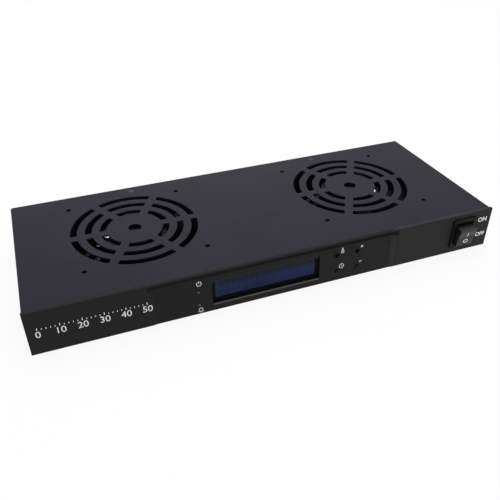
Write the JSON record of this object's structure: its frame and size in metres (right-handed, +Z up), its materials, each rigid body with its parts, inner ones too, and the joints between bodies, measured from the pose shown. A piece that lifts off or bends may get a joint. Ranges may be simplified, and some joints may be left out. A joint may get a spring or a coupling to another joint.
{
  "type": "rack fan tray",
  "caption": "Low black rack fan tray with twin slotted round grilles, blue display, push buttons and rocker switch on its recessed front.",
  "frame": {"origin": "middle of the base's flat underside", "axes": "+X along the front to the switch end, +Y from the front to the back, +Z up"},
  "size_m": [0.43, 0.1788, 0.0412],
  "materials": {
    "black_powder_coat": "fine-textured black powder coat",
    "black_moulding": "fine satin black",
    "zinc_plate": "zinc plated",
    "black_screw": "black oxide",
    "display_frame": "black lacquer",
    "display_glass": "glossy blue",
    "light_guide": "milky",
    "circuit_board": "green solder mask",
    "green_light": "tinted clear",
    "red_light": "tinted clear",
    "switch_body": "black",
    "rocker_black": "satin black",
    "tinned_brass": "tinned",
    "laminations": "varnished",
    "winding_tape": "yellow tape",
    "relay_case": "blue case",
    "capacitor_sleeve": "sleeved",
    "terminal_green": "green",
    "fuse_glass": "glass tube",
    "inlet_black": "black",
    "button_black": "black",
    "cast_black": "painted casting",
    "bearing_steel": "ground",
    "copper": "enamelled wire",
    "rotor_steel": "drawn steel, thin black paint",
    "impeller_black": "glass-filled black"
  },
  "bodies": {
    "tray": {"alarm_light": "red_light", "base_tray": "black_powder_coat", "board_screws": "zinc_plate", "board_spacers": "zinc_plate", "board_standoffs": "tinned_brass", "button_switches": "switch_body", "capacitors": "capacitor_sleeve", "control_board": "circuit_board", "cover_screws": "black_screw", "display_backlight": "light_guide", "display_bezel": "display_frame", "display_glass": "display_glass", "ear_inserts": "zinc_plate", "fan_nuts": "zinc_plate", "fan_screws": "black_screw", "fascia_screws": "zinc_plate", "front_board": "circuit_board", "front_board_screws": "zinc_plate", "front_fascia": "black_moulding", "fuse": "fuse_glass", "fuse_clips": "tinned_brass", "inlet_body": "inlet_black", "inlet_nuts": "zinc_plate", "inlet_pins": "tinned_brass", "inlet_screws": "black_screw", "left_fan_bearings": "bearing_steel", "left_fan_frame": "cast_black", "left_fan_stator": "laminations", "left_fan_windings": "copper", "power_light": "green_light", "probe_nut": "tinned_brass", "probe_socket": "tinned_brass", "relays": "relay_case", "right_fan_bearings": "bearing_steel", "right_fan_frame": "cast_black", "right_fan_stator": "laminations", "right_fan_windings": "copper", "rocker_housing": "rocker_black", "rocker_terminals": "tinned_brass", "standoff_screws": "black_screw", "terminal_block": "terminal_green", "top_cover": "black_powder_coat", "transformer_core": "laminations", "transformer_winding": "winding_tape"},
    "left_rotor": {"left_fan_shaft": "bearing_steel", "left_fan_rotor_cage": "laminations", "left_fan_rotor_cup": "rotor_steel", "left_fan_impeller": "impeller_black"},
    "right_rotor": {"right_fan_shaft": "bearing_steel", "right_fan_rotor_cage": "laminations", "right_fan_rotor_cup": "rotor_steel", "right_fan_impeller": "impeller_black"},
    "rocker": {"power_rocker": "rocker_black"},
    "temperature_key": {"temperature_button": "button_black"},
    "clock_key": {"clock_button": "button_black"},
    "plus_key": {"plus_button": "button_black"},
    "minus_key": {"minus_button": "button_black"}
  },
  "joints": [
    {"name": "left_fan_spin", "type": "hinge", "parent": "tray", "child": "left_rotor", "pos_m": [-0.1105, 0.007, 0.0205], "axis": [0, 0, 1], "continuous": true},
    {"name": "right_fan_spin", "type": "hinge", "parent": "tray", "child": "right_rotor", "pos_m": [0.1105, 0.007, 0.0205], "axis": [0, 0, 1], "continuous": true},
    {"name": "rocker_tilt", "type": "hinge", "parent": "tray", "child": "rocker", "pos_m": [0.184, -0.0815, 0.0216], "axis": [-1, 0, 0], "range_deg": [0, 24]},
    {"name": "temperature_press", "type": "slide", "parent": "tray", "child": "temperature_key", "axis": [0, 1, 0], "range_m": [0, 0.0003], "stiffness_N_per_m": 2500, "springref_m": -0.0002},
    {"name": "clock_press", "type": "slide", "parent": "tray", "child": "clock_key", "axis": [0, 1, 0], "range_m": [0, 0.0003], "stiffness_N_per_m": 2500, "springref_m": -0.0002},
    {"name": "plus_press", "type": "slide", "parent": "tray", "child": "plus_key", "axis": [0, 1, 0], "range_m": [0, 0.0003], "stiffness_N_per_m": 2500, "springref_m": -0.0002},
    {"name": "minus_press", "type": "slide", "parent": "tray", "child": "minus_key", "axis": [0, 1, 0], "range_m": [0, 0.0003], "stiffness_N_per_m": 2500, "springref_m": -0.0002}
  ]
}
